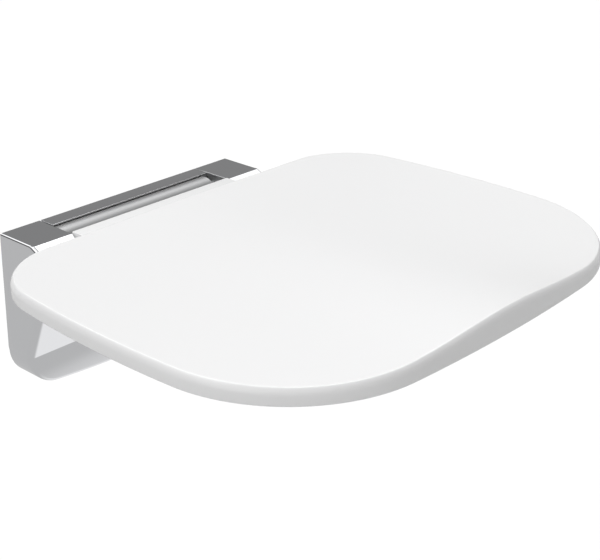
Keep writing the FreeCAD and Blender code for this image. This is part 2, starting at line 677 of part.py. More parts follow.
def build_bush(side, sign):
    """Flanged bush, turned about the hinge axis and pressed into the barrel."""
    body = doc.addObject("PartDesign::Body", f"{side}_bush_body")
    section = body.newObject("Sketcher::SketchObject", f"{side}_bush_section")
    plane = [f for f in body.Origin.OriginFeatures if f.Role == "XY_Plane"][0]
    section.AttachmentSupport = [(plane, "")]
    section.MapMode = "FlatFace"
    inner = size("shaft_diameter") / 2 + size("running_gap")
    seat = size("barrel_diameter") / 2 - size("barrel_wall")
    flange = size("flange_diameter") / 2
    back = -sign * size("bush_length")
    front = sign * size("flange_thick")
    points = [(back, inner), (front, inner), (front, flange), (0, flange), (0, seat), (back, seat)]
    for start, end in zip(points, points[1:] + points[:1]):
        section.addGeometry(Part.LineSegment(Vector(*start, 0), Vector(*end, 0)))
    turned = body.newObject("PartDesign::Revolution", f"{side}_bush_turned")
    turned.Profile = section
    turned.ReferenceAxis = (section, ["H_Axis"])
    turned.Angle = 360
    body.Tip = turned
    place(body, f"{sign} * {BARREL_HALF}", HINGE_Y, HINGE_Z)
    return node(f"{side}_bush", body)


def build_stop_collar(side, sign):
    """Collar on the shaft with the lug that stops the barrel's lug."""
    rim_length = "(collar_length + flange_thick - stop_height)"

    def start(length):
        return f"-{HALF_OPENING} + collar_gap" if sign < 0 else f"{HALF_OPENING} - collar_gap - {length}"

    ring = rod(f"{side}_collar_ring", "flange_diameter", "collar_length", start("collar_length"), HINGE_Y, HINGE_Z,
               ALONG_X)
    bore = rod(f"{side}_collar_bore", "shaft_diameter + 2 * running_gap", f"collar_length + {2 * PAST}",
               f"{start('collar_length')} - {PAST}", HINGE_Y, HINGE_Z, ALONG_X)
    rim = rod(f"{side}_collar_rim", "collar_diameter", rim_length, start(rim_length), HINGE_Y, HINGE_Z, ALONG_X)
    lug_start = sign * (barrel_half + size("collar_gap"))
    lug = stop_sector(f"{side}_collar_lug", lug_start, sign, -size("fold_angle") - size("stop_spread") - 1)
    return node(f"{side}_stop_collar", cut(f"{side}_collar", fuse(f"{side}_collar_solid", ring, rim, lug), bore))


# Seat

def meeting(first, reach_a, second, reach_b):
    """Where two circles meet, the point further to the right and the front."""
    gap = second - first
    along = (reach_a ** 2 - reach_b ** 2 + gap.Length ** 2) / (2 * gap.Length)
    across = math.sqrt(reach_a ** 2 - along ** 2)
    course = gap / gap.Length
    side = Vector(-course.y, course.x, 0)
    spots = [first + course * along + side * across * sign for sign in (-1, 1)]
    return max(spots, key=lambda p: p.x - p.y)


def seat_outline(inset):
    """The seat from above: bowed sides and front, a straight rear edge and round corners, moved in by inset."""
    half = size("seat_width") / 2
    corner = half - size("side_bow")
    back = -size("seat_back")
    front = -size("seat_front")
    front_side = front + size("front_bow")
    reach = (back - front_side) / 2
    side_radius = (reach ** 2 + size("side_bow") ** 2) / (2 * size("side_bow"))
    side_centre = Vector(half - side_radius, (back + front_side) / 2, 0)
    front_radius = (corner ** 2 + size("front_bow") ** 2) / (2 * size("front_bow"))
    front_centre = Vector(0, front + front_radius, 0)
    rear_y = back - size("rear_corner")
    rear_reach = side_radius - size("rear_corner")
    rear_x = side_centre.x + math.sqrt(rear_reach ** 2 - (rear_y - side_centre.y) ** 2)
    rear = Vector(rear_x, rear_y, 0)
    fore = meeting(side_centre, side_radius - size("front_corner"),
                   front_centre, front_radius - size("front_corner"))

    def touch(centre, radius, through):
        course = through - centre
        return centre + course / course.Length * (radius - inset)

    def halfway(centre, radius, start, end):
        return touch(centre, radius, centre + (start - centre) + (end - centre))

    rear_a = Vector(rear.x, back - inset, 0)
    rear_b = touch(side_centre, side_radius, rear)
    fore_a = touch(side_centre, side_radius, fore)
    fore_b = touch(front_centre, front_radius, fore)
    rear_mid = halfway(rear, size("rear_corner"), rear_a, rear_b)
    side_mid = halfway(side_centre, side_radius, rear_b, fore_a)
    fore_mid = halfway(fore, size("front_corner"), fore_a, fore_b)
    front_mid = Vector(0, front + inset, 0)

    def other(p):
        return Vector(-p.x, p.y, p.z)

    arcs = [(rear_a, rear_mid, rear_b), (rear_b, side_mid, fore_a), (fore_a, fore_mid, fore_b),
            (fore_b, front_mid, other(fore_b))]
    arcs += [(other(c), other(b), other(a)) for a, b, c in reversed(arcs[:3])]
    edges = [Part.Arc(*points).toShape() for points in arcs]
    return Part.Wire(edges + [Part.makeLine(other(rear_a), rear_a)])


def seat_block(inset, low, high):
    """The seat's outline, moved in by inset, as a solid from low to high."""
    body = Part.Face(seat_outline(inset)).extrude(Vector(0, 0, high - low))
    body.translate(Vector(0, 0, low))
    return body


def seat_height(x, y):
    """Height of the seat's top above its underside: a shallow hollow, and a ridge that rises to the front."""
    waist = (size("seat_back") + size("seat_front")) / 2
    across = min(1.0, abs(x) * 2 / size("seat_width"))
    along = (-y - waist) * 2 / (size("seat_front") - size("seat_back"))
    hollow = size("dish_depth") * (1 - across ** 4) * (1 - min(1.0, abs(along)) ** 4)
    run = (along + 1) / 2
    crest = size("ridge_back") + (size("ridge_height") - size("ridge_back")) * max(0.0, run) ** 2.2
    bell = math.exp(-(x / size("ridge_spread")) ** 2)
    return size("rim_height") - hollow + crest * bell


def seat_top(drop):
    """Everything above the seat's top, lowered by drop, as a solid to cut with."""
    base = under_seat - drop
    margin = size("rim_height")
    half = size("seat_width") / 2 + margin
    back = -size("seat_back") + margin
    front = -size("seat_front") - margin
    across, along = 11, 7
    grid = []
    for i in range(across):
        x = -half + 2 * half * i / (across - 1)
        line = [back + (front - back) * j / (along - 1) for j in range(along)]
        grid.append([Vector(x, y, base + seat_height(x, y)) for y in line])
    surface = Part.BSplineSurface()
    surface.interpolate(grid)
    return surface.toShape().extrude(Vector(0, 0, 4 * size("rim_height")))


def build_seat_shell():
    """Hollow moulded seat: top, skirt, ribs and screw bosses inside, and the tongue with its insert holes."""
    tall = 3 * size("rim_height")
    blank = seat_block(0, under_seat, under_seat + tall).cut(seat_top(0))
    top_rim = [e for e in blank.Edges if e.BoundBox.ZMin > under_seat + size("rim_height") / 2]
    blank = blank.makeFillet(size("top_round"), top_rim)
    low_rim = [e for e in blank.Edges if e.BoundBox.ZMax < under_seat + 0.01]
    blank = blank.makeChamfer(size("under_bevel"), low_rim)
    hollow = seat_block(size("skirt"), under_seat - PAST, under_seat + tall).cut(seat_top(size("skin")))
    half = size("seat_width") / 2
    thick = size("rib_thick")
    lowest = under_seat + size("pan_thick")
    reach = size("seat_front")
    webs = []
    for share in (-0.5, 0.0, 0.5):
        webs.append(Part.makeBox(thick, reach, tall, Vector(half * share - thick / 2, -reach, lowest)))
    for share in (0.33, 0.66):
        y = -size("seat_back") - (reach - size("seat_back")) * share
        webs.append(Part.makeBox(2 * half, thick, tall, Vector(-half, y - thick / 2, lowest)))
    for x, y in pan_screw_places():
        webs.append(Part.makeCylinder(size("boss_diameter") / 2, tall, Vector(x, y, lowest)))
    shell = blank.cut(hollow).fuse(webs[0].multiFuse(webs[1:]).common(hollow))

    low = size("bracket_top") - size("tongue_drop")
    tongue = Part.makeBox(2 * tongue_half, size("tongue_front") - size("tongue_back"),
                          size("tongue_drop") + size("tongue_top"), Vector(-tongue_half, -size("tongue_front"), low))
    ends = [e for e in tongue.Edges if middle(e).y > -size("tongue_back") - 0.01]
    shell = shell.fuse(tongue.makeFillet(size("tongue_round"), ends))
    holes = []
    for x, y in leaf_screw_places():
        holes.append(Part.makeCylinder((size("insert_diameter") + size("tap_gap")) / 2,
                                       size("insert_length") + size("tap_gap"), Vector(x, y, low)))
    for x, y in pan_screw_places():
        holes.append(Part.makeCylinder(size("pan_screw") / 2 + size("tap_gap"),
                                       size("pan_screw_length") - size("pan_thick") + size("fit_gap"),
                                       Vector(x, y, lowest)))
    shell = shell.cut(holes[0].multiFuse(holes[1:]))
    return node("seat_shell", solid_of("seat_body", shell.removeSplitter()))


def pan_screw_places():
    """Six screws round the bottom cover."""
    half = size("seat_width") / 2
    reach = size("seat_front") - size("seat_back")
    places = []
    for across, along in ((0.6, 0.12), (0.85, 0.45), (0.45, 0.9)):
        y = -size("seat_back") - reach * along
        places += [(half * across, y), (-half * across, y)]
    return places


def leaf_screw_places():
    """Four screws of the hinge leaf, in two rows."""
    x = leaf_half - size("leaf_screw_edge")
    return [(sign * x, -size(row)) for row in ("leaf_screw_rear", "leaf_screw_front") for sign in (-1, 1)]


def build_seat_pan():
    """Bottom cover inside the skirt, cut out round the tongue."""
    gap = size("fit_gap")
    thick = size("pan_thick")
    pan = seat_block(size("skirt") + gap, under_seat, under_seat + thick)
    wide = 2 * (tongue_half + gap)
    pan = pan.cut(Part.makeBox(wide, size("tongue_front"), 3 * thick,
                               Vector(-wide / 2, -size("tongue_front") - gap, under_seat - thick)))
    narrow = size("pan_screw") / 2 + gap
    for x, y in pan_screw_places():
        pan = pan.cut(Part.makeCylinder(narrow, thick + 2 * PAST, Vector(x, y, under_seat - PAST)))
        pan = pan.cut(Part.makeCone(size("pan_screw_head") / 2 + gap, narrow, size("pan_screw_sink"),
                                    Vector(x, y, under_seat)))
    return node("seat_pan", solid_of("pan_body", pan))


def build_pan_screws():
    screws = []
    radius = size("pan_screw") / 2
    for number, (x, y) in enumerate(pan_screw_places()):
        shank = Part.makeCylinder(radius, size("pan_screw_length"), Vector(x, y, under_seat))
        head = Part.makeCone(size("pan_screw_head") / 2, radius, size("pan_screw_sink") - size("tap_gap"),
                             Vector(x, y, under_seat))
        screws.append(solid_of(f"pan_screw_{number}", shank.fuse(head)))
    return node("pan_screws", group("pan_screw_set", *screws))


def build_leaf():
    """Steel leaf under the tongue, hollowed at its end to sit on the barrel."""
    blank = box("leaf_blank", (f"-{LEAF_HALF}", LEAF_HALF), ("-leaf_front", HINGE_Y), (LEAF_LOW, LEAF_TOP))

    def corner(edge):
        spot = middle(edge)
        return abs(edge.Vertexes[0].Z - edge.Vertexes[-1].Z) > 1 and spot.y < -size("leaf_front") + 1

    plate = rounded("leaf_plate", blank, "leaf_corner", corner)
    tools = [rod("leaf_seat", "barrel_diameter", f"2 * {LEAF_HALF} + {2 * PAST}", f"-{LEAF_HALF} - {PAST}",
                 HINGE_Y, HINGE_Z, ALONG_X)]
    hole = "leaf_screw + 2 * hole_gap"
    for number, (x, y) in enumerate(leaf_screw_places()):
        tools.append(rod(f"leaf_hole_{number}", hole, f"leaf_thick + {2 * PAST}", f"{x}", f"{y}",
                         f"{LEAF_LOW} - {PAST}"))
        tools.append(cone(f"leaf_sink_{number}", "leaf_screw_head + 2 * hole_gap", hole, "leaf_screw_sink",
                          f"{x}", f"{y}", LEAF_LOW))
    return node("hinge_leaf", cut("leaf", plate, *tools))


def build_leaf_screws():
    screws = []
    for number, (x, y) in enumerate(leaf_screw_places()):
        shank = rod(f"leaf_shank_{number}", "leaf_screw", "leaf_thick + insert_length - 2 * fit_gap",
                    f"{x}", f"{y}", LEAF_LOW)
        head = cone(f"leaf_head_{number}", "leaf_screw_head", "leaf_screw", "leaf_screw_sink - tap_gap",
                    f"{x}", f"{y}", LEAF_LOW)
        screws.append(fuse(f"leaf_screw_{number}", shank, head))
    return node("leaf_screws", group("leaf_screw_set", *screws))


def build_inserts():
    inserts = []
    for number, (x, y) in enumerate(leaf_screw_places()):
        sleeve = rod(f"insert_sleeve_{number}", "insert_diameter", "insert_length", f"{x}", f"{y}", LEAF_TOP)
        bore = rod(f"insert_bore_{number}", "leaf_screw + 2 * tap_gap", f"insert_length + {2 * PAST}",
                   f"{x}", f"{y}", f"{LEAF_TOP} - {PAST}")
        inserts.append(cut(f"insert_{number}", sleeve, bore))
    return node("seat_inserts", group("insert_set", *inserts))


def build_cover_screws():
    """Low headed screws, put in from below, whose heads sit in the cover's floor."""
    screws = []
    for side, sign in SIDES:
        spot = f"{sign} * lug_spread / 2"
        shank = rod(f"cover_shank_{side}", "cover_screw", "cover_screw_length", spot, COVER_SCREW_Y, COVER_SEAT)
        head = rod(f"cover_head_{side}", "cover_screw_head", "cover_screw_cap", spot, COVER_SCREW_Y,
                   f"{COVER_SEAT} - cover_screw_cap")
        screws.append(fuse(f"cover_screw_{side}", shank, head))
    return node("cover_screws", group("cover_screw_pair", *screws))


build_housing()
build_lower_cover()
build_rear_strip()
build_wall_plate()
build_wall_gasket()
for side, sign in SIDES:
    build_side_frame(side, sign)
    build_bush(side, sign)
    build_stop_collar(side, sign)
build_frame_screws()
build_front_rail()
build_rail_screws()
build_rest_pads()
build_shaft()
build_set_screws()
build_barrel()
build_seat_shell()
build_seat_pan()
build_pan_screws()
build_leaf()
build_leaf_screws()
build_inserts()
build_cover_screws()

doc.recompute()
for item in doc.Objects:
    faults = [state for state in item.State if state in ("Invalid", "Error")]
    if faults:
        raise RuntimeError(f"{item.Label} failed: {faults}")
for item in nodes:
    shape = item.Shape
    if shape.isNull() or not shape.isValid() or not shape.Solids or shape.Volume <= 0:
        raise RuntimeError(f"{item.Label} has no valid solid")

os.makedirs("parts", exist_ok=True)
for item in nodes:
    item.Shape.exportStep(f"parts/{item.Label}.step")
    print(item.Label, len(item.Shape.Solids), round(item.Shape.Volume), len(item.Shape.Faces))
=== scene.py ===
import json
import math
import bmesh
import bpy
import numpy as np
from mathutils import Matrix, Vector


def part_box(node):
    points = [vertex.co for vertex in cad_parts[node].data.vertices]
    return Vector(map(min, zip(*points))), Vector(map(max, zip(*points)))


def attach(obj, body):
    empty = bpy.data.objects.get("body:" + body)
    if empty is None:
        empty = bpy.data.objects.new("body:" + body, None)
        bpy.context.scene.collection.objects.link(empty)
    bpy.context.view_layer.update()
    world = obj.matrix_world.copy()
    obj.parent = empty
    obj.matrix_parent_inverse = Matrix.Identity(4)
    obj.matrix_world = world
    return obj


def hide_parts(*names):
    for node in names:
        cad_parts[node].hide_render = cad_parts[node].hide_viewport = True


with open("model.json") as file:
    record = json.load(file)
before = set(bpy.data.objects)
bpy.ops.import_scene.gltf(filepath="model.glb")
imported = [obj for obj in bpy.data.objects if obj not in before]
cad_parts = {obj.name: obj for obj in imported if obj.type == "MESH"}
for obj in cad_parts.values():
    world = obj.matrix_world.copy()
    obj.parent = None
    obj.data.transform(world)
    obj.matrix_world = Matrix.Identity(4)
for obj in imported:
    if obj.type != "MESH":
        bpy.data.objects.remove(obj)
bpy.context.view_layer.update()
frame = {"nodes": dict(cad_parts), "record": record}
nodes = frame["nodes"]
mm = 0.001  # sizes below are written in millimetres and turned into metres with this
weldGap = 0.000002  # points nearer to each other than this become one, in metres

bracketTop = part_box("rear_strip")[1].z / mm  # height of the bracket's flat top, in millimetres
print("frame loaded:", len(nodes), "nodes")


# Shader maths: a Wire is one output socket, and arithmetic on it adds the Math nodes

class Wire:
    def __init__(self, tree, socket):
        self.tree = tree
        self.socket = socket

    def maths(self, operation, *values):
        step = self.tree.nodes.new("ShaderNodeMath")
        step.operation = operation
        for slot, value in zip(step.inputs, values):
            feed(self.tree, slot, value)
        return Wire(self.tree, step.outputs[0])

    def __add__(self, other):
        return self.maths("ADD", self, other)

    def __radd__(self, other):
        return self.maths("ADD", other, self)

    def __sub__(self, other):
        return self.maths("SUBTRACT", self, other)

    def __rsub__(self, other):
        return self.maths("SUBTRACT", other, self)

    def __mul__(self, other):
        return self.maths("MULTIPLY", self, other)

    def __rmul__(self, other):
        return self.maths("MULTIPLY", other, self)

    def root(self):
        return self.maths("SQRT", self)


def feed(tree, slot, value):
    if isinstance(value, Wire):
        tree.links.new(value.socket, slot)
    else:
        slot.default_value = value


class Finish:  # a node tree, one method that adds any node to it, and a few that add common groups
    def __init__(self, tree):
        self.tree = tree
        tree.nodes.clear()

    def add(self, kind, settings=None, values=None, out=0):
        step = self.tree.nodes.new("ShaderNode" + kind)
        for name, setting in (settings or {}).items():
            setattr(step, name, setting)
        for name, value in (values or {}).items():
            feed(self.tree, step.inputs[name], value)
        if len(step.outputs):  # an output node has none
            return Wire(self.tree, step.outputs[out])

    def axes(self, vector):  # the x, y and z of a vector
        parts = self.add("SeparateXYZ", values={0: vector}).socket.node
        return [Wire(self.tree, socket) for socket in parts.outputs]

    def smooth(self, value, low, high):  # 0 below low, 1 above high, smooth between
        ranges = {"Value": value, "From Min": low, "From Max": high}
        return self.add("MapRange", {"interpolation_type": "SMOOTHSTEP"}, ranges)

    def noise(self, place, scale, detail, stretch):
        stretched = self.add("Mapping", values={"Vector": place, "Scale": stretch})
        return self.add("TexNoise", values={"Vector": stretched, "Scale": scale, "Detail": detail})

    def shaded(self, colour, share):  # a colour times a shade that varies over the surface
        shade = self.add("CombineColor", values={"Red": share, "Green": share, "Blue": share})
        return self.add("Mix", {"data_type": "RGBA", "blend_type": "MULTIPLY"},
                        {"Factor": 1.0, 6: (*colour, 1), 7: shade}, out=2)


noiseDetail = {"cloud": 3.0, "smear": 4.0, "grain": 5.0}  # how fine each noise goes
noiseMiddle = 0.5
evenly = (1, 1, 1)  # no stretch


def makeFinish(name, look):
    # clouds shade the colour, finer smears vary the roughness, and the grain makes the bump
    material = bpy.data.materials.new(name)
    material.use_nodes = True
    finish = Finish(material.node_tree)
    place = finish.add("TexCoord", out="Object")
    clouds, smears, grain = (
        finish.noise(place, look[kind + "Scale"], detail, look.get(kind + "Stretch", evenly))
        for kind, detail in noiseDetail.items()
    )
    shade = 1.0 + (clouds - noiseMiddle) * look["cloudDepth"]
    bump = {"Height": grain, "Strength": 1.0, "Distance": look["grainDepth"]}
    shader = finish.add("BsdfPrincipled", values={
        "Base Color": finish.shaded(look["colour"], shade),
        "Roughness": look["roughness"] + (smears - noiseMiddle) * look["smearDepth"],
        "Metallic": look["metal"],
        "Normal": finish.add("Bump", values=bump),
    })
    finish.add("OutputMaterial", values={"Surface": shader})
    return material


# Finishes: a larger scale makes finer clouds, smears or grain, and the depth says how far they vary

finishes = {
    "chrome": {
        "colour": (0.74, 0.745, 0.76), "metal": 1.0, "roughness": 0.055,
        "cloudScale": 9, "cloudDepth": 0.04, "smearScale": 22, "smearDepth": 0.03,
        "grainScale": 700, "grainDepth": 0.000002,
    },
    "gloss_white": {
        "colour": (0.88, 0.88, 0.882), "metal": 0.0, "roughness": 0.12,
        "cloudScale": 6, "cloudDepth": 0.012, "smearScale": 14, "smearDepth": 0.04,
        "grainScale": 260, "grainDepth": 0.000012,
    },
    "satin_white": {
        "colour": (0.80, 0.80, 0.80), "metal": 0.0, "roughness": 0.42,
        "cloudScale": 7, "cloudDepth": 0.02, "smearScale": 30, "smearDepth": 0.08,
        "grainScale": 1100, "grainDepth": 0.00003,
    },
    "satin_alloy": {
        "colour": (0.345, 0.347, 0.35), "metal": 1.0, "roughness": 0.4,
        "cloudScale": 12, "cloudDepth": 0.04,
        "smearScale": 60, "smearDepth": 0.1, "smearStretch": (0.15, 4, 4),
        "grainScale": 300, "grainDepth": 0.00001, "grainStretch": (0.04, 5, 5),
    },
    "ground_steel": {
        "colour": (0.5, 0.505, 0.51), "metal": 1.0, "roughness": 0.36,
        "cloudScale": 14, "cloudDepth": 0.08,
        "smearScale": 70, "smearDepth": 0.12, "smearStretch": (0.1, 3, 3),
        "grainScale": 340, "grainDepth": 0.00002, "grainStretch": (0.05, 6, 6),
    },
    "turned_steel": {
        "colour": (0.52, 0.52, 0.525), "metal": 1.0, "roughness": 0.24,
        "cloudScale": 30, "cloudDepth": 0.05, "smearScale": 90, "smearDepth": 0.08,
        "grainScale": 260, "grainDepth": 0.00001, "grainStretch": (9, 0.4, 0.4),
    },
    "screw_steel": {
        "colour": (0.56, 0.56, 0.565), "metal": 1.0, "roughness": 0.26,
        "cloudScale": 60, "cloudDepth": 0.06, "smearScale": 140, "smearDepth": 0.1,
        "grainScale": 900, "grainDepth": 0.00001,
    },
    "cast_alloy": {
        "colour": (0.55, 0.555, 0.56), "metal": 1.0, "roughness": 0.52,
        "cloudScale": 20, "cloudDepth": 0.1, "smearScale": 90, "smearDepth": 0.1,
        "grainScale": 1500, "grainDepth": 0.00008,
    },
    "black_rubber": {
        "colour": (0.035, 0.035, 0.037), "metal": 0.0, "roughness": 0.72,
        "cloudScale": 20, "cloudDepth": 0.3, "smearScale": 90, "smearDepth": 0.1,
        "grainScale": 1400, "grainDepth": 0.00005,
    },
    "bearing_plastic": {
        "colour": (0.1, 0.1, 0.105), "metal": 0.0, "roughness": 0.45,
        "cloudScale": 30, "cloudDepth": 0.1, "smearScale": 90, "smearDepth": 0.1,
        "grainScale": 900, "grainDepth": 0.00002,
    },
    "insert_brass": {
        "colour": (0.68, 0.5, 0.24), "metal": 1.0, "roughness": 0.3,
        "cloudScale": 40, "cloudDepth": 0.1, "smearScale": 90, "smearDepth": 0.1,
        "grainScale": 700, "grainDepth": 0.00002, "grainStretch": (0.3, 0.3, 6),
    },
}
materials = {name: makeFinish(name, look) for name, look in finishes.items()}
print("finishes ready:", len(materials))

finishOfSlot = {
    "chrome": "chrome", "plate_steel": "ground_steel", "black_rubber": "black_rubber",
    "cast_alloy": "cast_alloy", "bearing_plastic": "bearing_plastic", "shaft_steel": "turned_steel",
    "screw_steel": "screw_steel", "satin_alloy": "satin_alloy", "seat_white": "gloss_white",
    "pan_white": "satin_white", "insert_brass": "insert_brass",
}
slotOfNode = {part["node"]: part["material_slot"] for part in frame["record"]["subparts"]}
for name, node in nodes.items():
    node.data.materials.clear()
    node.data.materials.append(materials[finishOfSlot[slotOfNode[name]]])


# New pieces

# edges bent further than this stay sharp, in degrees
smoothAngle = {"plate": 25, "turned": 30, "moulded": 40}
mirror = np.array([-1.0, 1.0])  # turns a point or a way of the right half into the left half's


def newPiece(name, mesh, node, body, angle):
    # an object that moves with a body and has the finish of a node
    piece = bpy.data.objects.new(name, mesh)
    bpy.context.scene.collection.objects.link(piece)
    piece.data.materials.append(materials[finishOfSlot[slotOfNode[node]]])
    for face in mesh.polygons:
        face.use_smooth = True
    mesh.set_sharp_from_angle(angle=math.radians(angle))
    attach(piece, body)
    return piece


def gridMesh(name, sheets):
    # each sheet is an array of rows of points, each row a closed ring, and two sheets share no points
    points = []
    faces = []
    start = 0
    for sheet in sheets:
        rows, columns = sheet.shape[:2]
        index = start + np.arange(rows * columns).reshape(rows, columns)
        around = np.roll(index, -1, axis=1)
        quads = np.stack([index[:-1], around[:-1], around[1:], index[1:]], axis=-1).reshape(-1, 4)
        points.append(sheet.reshape(-1, 3))
        faces.append(quads)
        start += rows * columns
    mesh = bpy.data.meshes.new(name)
    mesh.from_pydata((np.concatenate(points) * mm).tolist(), [], np.concatenate(faces).tolist())
    weld(mesh)
    return mesh


def weld(mesh):
    # merges doubled points, which closes poles, drops what has no area, and turns the faces outwards
    work = bmesh.new()
    work.from_mesh(mesh)
    bmesh.ops.remove_doubles(work, verts=work.verts, dist=weldGap)
    bmesh.ops.dissolve_degenerate(work, edges=work.edges, dist=weldGap)
    bmesh.ops.recalc_face_normals(work, faces=work.faces)
    work.to_mesh(mesh)
    work.free()


def arcPoints(centre, radius, start, end, count):
    # points on a circle between two angles, and the way outwards at each
    angle = np.linspace(start, end, count)
    outwards = np.stack([np.cos(angle), np.sin(angle)], axis=-1)
    return centre + radius * outwards, outwards


def arcRadius(reach, bow):
    # radius of the arc that bows out by bow between two ends that lie twice the reach apart
    return (reach ** 2 + bow ** 2) / (2 * bow)


def bearing(start, end):
    # the angle of the way from one point to another
    return math.atan2(end[1] - start[1], end[0] - start[0])


# Seat: outline from arcs, height from a shallow hollow and a ridge, and a rounded edge

seat = {
    "width": 400, "back": 74, "front": 388, "sideBow": 13, "frontBow": 13,
    "rearCorner": 62, "frontCorner": 113, "lift": 0.5, "rim": 13.2, "dish": 2.2, "dishFlank": 4,
    "ridge": 7.6, "ridgeBack": 1.2, "ridgeSpread": 72, "ridgeClimb": 2.2,
    "topRound": 1.5, "topTurn": 50, "sideRound": 8, "underRound": 1.5,
    "skirt": 4, "skin": 4, "panGap": 0.3,
}
seatGrid = {  # points along the parts of the outline, and rings on the top, its edges, the wall and below
    "rear": 40, "rearCorner": 40, "side": 60, "frontCorner": 60, "front": 50,
    "top": 60, "topSpread": 0.8, "topRound": 7, "sideRound": 8, "underRound": 5,
    "wall": (0.25, 0.5, 0.75, 1.0), "hollow": (0.8, 0.5, 0.25, 0.0),
}


def seatOutline():
    # a straight rear edge, corner arc, bowed side arc, corner arc and bowed front arc, then their mirror
    # image; the third result is the centre of the right front corner
    half = seat["width"] / 2
    corner = half - seat["sideBow"]
    back, front = -seat["back"], -seat["front"]
    frontSide = front + seat["frontBow"]
    sideRadius = arcRadius((back - frontSide) / 2, seat["sideBow"])
    sideCentre = np.array([half - sideRadius, (back + frontSide) / 2])
    frontRadius = arcRadius(corner, seat["frontBow"])
    frontCentre = np.array([0, front + frontRadius])
    # the rear corner touches the rear edge and the side's circle from within
    rearY = back - seat["rearCorner"]
    rearReach = sideRadius - seat["rearCorner"]
    rearX = sideCentre[0] + math.sqrt(rearReach ** 2 - (rearY - sideCentre[1]) ** 2)
    rearCentre = np.array([rearX, rearY])
    # the front corner's centre lies where the circles of side and front meet, both taken in by its radius
    sideReach = sideRadius - seat["frontCorner"]
    frontReach = frontRadius - seat["frontCorner"]
    gap = frontCentre - sideCentre
    span = math.hypot(*gap)
    along = (sideReach ** 2 - frontReach ** 2 + span ** 2) / (2 * span)
    course = gap / span
    across = np.array([course[1], -course[0]])
    foreCentre = sideCentre + course * along + across * math.sqrt(sideReach ** 2 - along ** 2)

    rearTouch = bearing(sideCentre, rearCentre)
    sideTouch = bearing(sideCentre, foreCentre)
    frontTouch = bearing(frontCentre, foreCentre)
    edge = np.linspace(0, rearX, seatGrid["rear"])
    straight = np.stack([edge, np.full(len(edge), back)], axis=-1), np.tile([0.0, 1.0], (len(edge), 1))
    arcs = [
        arcPoints(rearCentre, seat["rearCorner"], math.pi / 2, rearTouch, seatGrid["rearCorner"]),
        arcPoints(sideCentre, sideRadius, rearTouch, sideTouch, seatGrid["side"]),
        arcPoints(foreCentre, seat["frontCorner"], sideTouch, frontTouch, seatGrid["frontCorner"]),
        arcPoints(frontCentre, frontRadius, frontTouch, -math.pi / 2, seatGrid["front"]),
    ]
    points = np.concatenate([straight[0]] + [arc[0][1:] for arc in arcs])
    outwards = np.concatenate([straight[1]] + [arc[1][1:] for arc in arcs])
    return (np.concatenate([points, points[-2:0:-1] * mirror]),
            np.concatenate([outwards, outwards[-2:0:-1] * mirror]), foreCentre)


def seatHeight(x, y):
    # rim height, less a hollow with quartic flanks, plus a bell-shaped ridge that climbs to the front edge
    across = np.minimum(1, np.abs(x) * 2 / seat["width"])
    along = (-y - (seat["back"] + seat["front"]) / 2) * 2 / (seat["front"] - seat["back"])
    flank = seat["dishFlank"]
    hollow = seat["dish"] * (1 - across ** flank) * (1 - np.minimum(1, np.abs(along)) ** flank)
    climb = np.maximum(0, (along + 1) / 2) ** seat["ridgeClimb"]
    crest = seat["ridgeBack"] + (seat["ridge"] - seat["ridgeBack"]) * climb
    return seat["rim"] - hollow + crest * np.exp(-(x / seat["ridgeSpread"]) ** 2)


def buildSeat():
    # rings from the centre of the top outwards, round the edge, and back under to the hollow's centre
    points, outwards, _ = seatOutline()
    under = bracketTop + seat["lift"]
    middle = np.array([0.0, -(seat["back"] + seat["front"]) / 2])
    topRound, sideRound, underRound = seat["topRound"], seat["sideRound"], seat["underRound"]
    # the edge turns through the first angle on a small round, and through the rest on a large one
    change = math.radians(seat["topTurn"])
    edgeInset = sideRound * (1 - math.sin(change)) + topRound * math.sin(change)
    smallDrop = topRound * (1 - math.cos(change))

    def ring(inset, lift=None, drop=0.0, share=1.0):
        # the outline moved in by inset and drawn towards the middle by share, lift above the underside or,
        # with no lift, drop below the top
        spots = middle + (points - outwards * inset - middle) * share
        if lift is None:
            lift = seatHeight(spots[:, 0], spots[:, 1]) - drop
        return np.column_stack([spots, under + np.broadcast_to(lift, len(spots))])

    def turns(start, end, count):
        return np.linspace(start, end, count + 1)[1:]

    rings = [ring(edgeInset, share=share)
             for share in np.linspace(0, 1, seatGrid["top"]) ** seatGrid["topSpread"]]
    for turn in turns(0, change, seatGrid["topRound"]):
        rings.append(ring(edgeInset - topRound * math.sin(turn), drop=topRound * (1 - math.cos(turn))))
    for turn in turns(change, math.pi / 2, seatGrid["sideRound"]):
        fall = smallDrop + sideRound * (math.cos(change) - math.cos(turn))
        rings.append(ring(sideRound * (1 - math.sin(turn)), drop=fall))
    wallTop = rings[-1]
    wallLow = ring(0, lift=underRound)
    rings += [wallTop * (1 - share) + wallLow * share for share in seatGrid["wall"]]
    for turn in turns(0, math.pi / 2, seatGrid["underRound"]):
        rings.append(ring(underRound * (1 - math.cos(turn)), lift=underRound * (1 - math.sin(turn))))
    rings.append(ring(seat["skirt"], lift=0.0))
    rings.append(ring(seat["skirt"], drop=seat["skin"]))
    rings += [ring(seat["skirt"], drop=seat["skin"], share=share) for share in seatGrid["hollow"]]
    return gridMesh("seat_surface", [np.array(rings)])


tongue = {"width": 166.8, "back": 40, "front": 128, "top": 1.5, "drop": 9, "round": 1.0}
blockSteps = 5  # faces round each edge of a block


